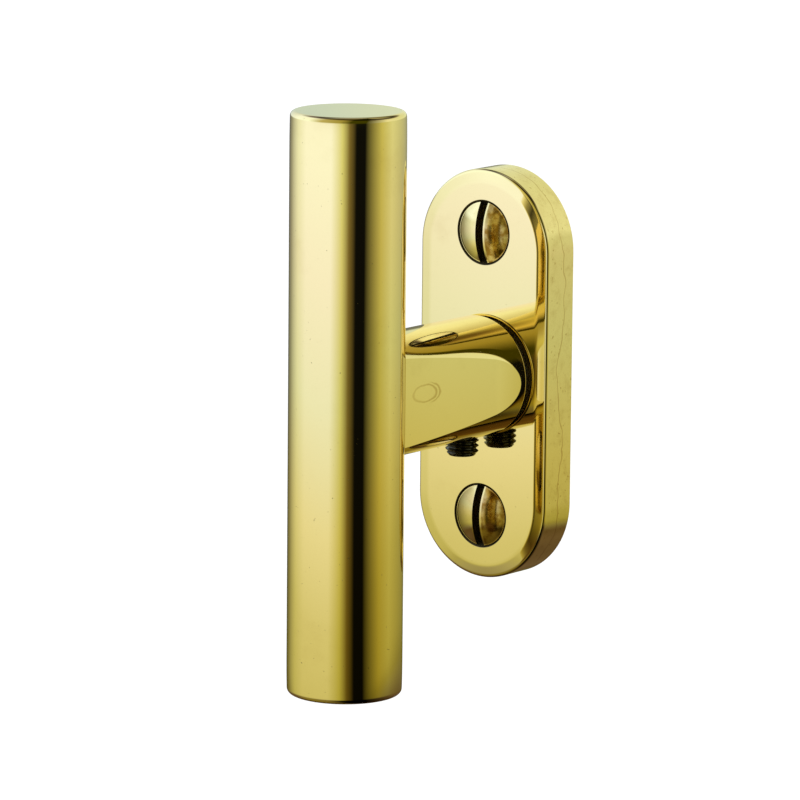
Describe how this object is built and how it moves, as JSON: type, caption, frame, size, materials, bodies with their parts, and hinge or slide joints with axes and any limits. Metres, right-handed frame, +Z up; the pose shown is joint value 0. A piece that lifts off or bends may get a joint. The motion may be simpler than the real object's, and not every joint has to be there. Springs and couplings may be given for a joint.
{
  "type": "casement window handle",
  "caption": "Round T-bar window handle on a tapered neck, turning a square spindle behind an obround screw-on rose.",
  "frame": {"origin": "where the spindle's axis meets the plane of the rose's back face, midway between the two fixing screws", "axes": "+Y into the window frame along the spindle's axis, -Y towards the room, +Z up along the rose and the grip at rest, +X to the right as seen from the room"},
  "size_m": [0.024, 0.0606, 0.086],
  "materials": {
    "polished_brass": "hand-polished pale brass, unlacquered, with fine turning lines and small specks",
    "screw_brass": "turned brass, a little darker and less polished than the rose",
    "zinc_plated_steel": "bright zinc plating over drawn or turned steel",
    "spring_steel": "oiled spring steel",
    "black_oxide_steel": "black oxide, oiled",
    "white_nylon": "natural white nylon",
    "black_nylon": "matt black nylon"
  },
  "bodies": {
    "rose_unit": {"rose": "polished_brass", "upper_fixing_screw": "screw_brass", "lower_fixing_screw": "screw_brass", "bearing_bush": "white_nylon", "friction_washer": "black_nylon", "wave_washer": "spring_steel"},
    "handle_unit": {"neck": "polished_brass", "grip": "polished_brass", "grip_screw": "zinc_plated_steel", "lock_washer": "spring_steel", "thrust_washer": "zinc_plated_steel", "retaining_ring": "spring_steel"},
    "spindle_bar": {"spindle": "zinc_plated_steel"},
    "clamp_screw": {"set_screw": "black_oxide_steel"}
  },
  "joints": [
    {"name": "handle_turn", "type": "hinge", "parent": "rose_unit", "child": "handle_unit", "pos_m": [0, 0, 0], "axis": [0, 1, 0], "range_deg": [-90, 90]},
    {"name": "spindle_reach", "type": "slide", "parent": "handle_unit", "child": "spindle_bar", "axis": [0, 1, 0], "range_m": [0, 0.01]},
    {"name": "set_screw_travel", "type": "slide", "parent": "handle_unit", "child": "clamp_screw", "axis": [0, 0, -1], "range_m": [0, 0.002]}
  ]
}
